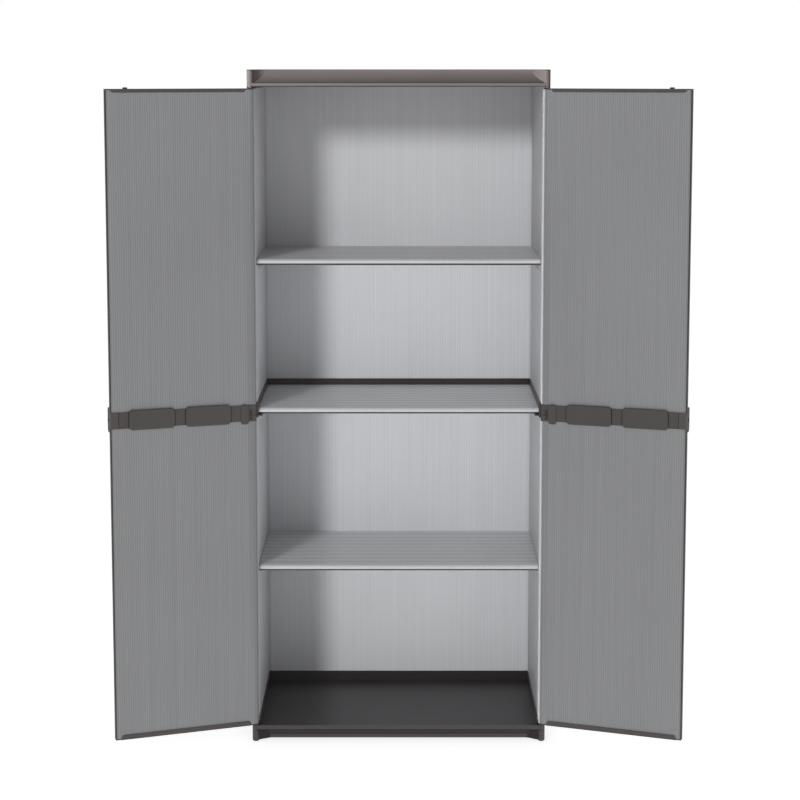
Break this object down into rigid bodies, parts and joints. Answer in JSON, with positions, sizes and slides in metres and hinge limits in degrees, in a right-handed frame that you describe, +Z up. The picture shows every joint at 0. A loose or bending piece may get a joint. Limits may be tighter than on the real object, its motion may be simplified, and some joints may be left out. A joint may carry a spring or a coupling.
{
  "type": "garden storage cabinet",
  "caption": "Tall free-standing two-door storage cabinet of ribbed grey plastic panels in dark moulded base, mid frame and top, with fixed shelves and swinging doors.",
  "frame": {"origin": "on the ground, under the middle of the cabinet's overall footprint with both doors standing open", "axes": "+Z up, +X to the right as seen from the front, the doors and the open front face -Y"},
  "size_m": [1.3024, 0.5044, 1.551],
  "materials": {
    "panel_grey": "finely ribbed satin",
    "door_grey": "finely ribbed satin",
    "shelf_grey": "satin with cross grooves",
    "bracket_grey": "satin",
    "moulding_dark": "fine moulded grain"
  },
  "bodies": {
    "carcass": {"base_tray": "moulding_dark", "mid_frame": "moulding_dark", "top_cap": "moulding_dark", "left_lower_side_panel": "panel_grey", "left_upper_side_panel": "panel_grey", "right_lower_side_panel": "panel_grey", "right_upper_side_panel": "panel_grey", "lower_back_panel": "panel_grey", "upper_back_panel": "panel_grey", "lower_shelf": "shelf_grey", "middle_shelf": "shelf_grey", "upper_shelf": "shelf_grey", "lower_shelf_brackets": "bracket_grey", "upper_shelf_brackets": "bracket_grey"},
    "left_door": {"left_door_upper_panel": "door_grey", "left_door_lower_panel": "door_grey", "left_door_mid_bar": "moulding_dark", "left_door_handle": "moulding_dark", "left_door_top_end_cap": "moulding_dark", "left_door_bottom_end_cap": "moulding_dark", "left_door_upper_edge_strip": "moulding_dark", "left_door_lower_edge_strip": "moulding_dark"},
    "right_door": {"right_door_upper_panel": "door_grey", "right_door_lower_panel": "door_grey", "right_door_mid_bar": "moulding_dark", "right_door_handle": "moulding_dark", "right_door_top_end_cap": "moulding_dark", "right_door_bottom_end_cap": "moulding_dark", "right_door_upper_edge_strip": "moulding_dark", "right_door_lower_edge_strip": "moulding_dark"}
  },
  "joints": [
    {"name": "left_door_hinge", "type": "hinge", "parent": "carcass", "child": "left_door", "pos_m": [-0.332, -0.12979, 0.7745], "axis": [0, 0, 1], "range_deg": [-20, 160]},
    {"name": "right_door_hinge", "type": "hinge", "parent": "carcass", "child": "right_door", "pos_m": [0.332, -0.12979, 0.7745], "axis": [0, 0, 1], "range_deg": [-160, 20]}
  ]
}
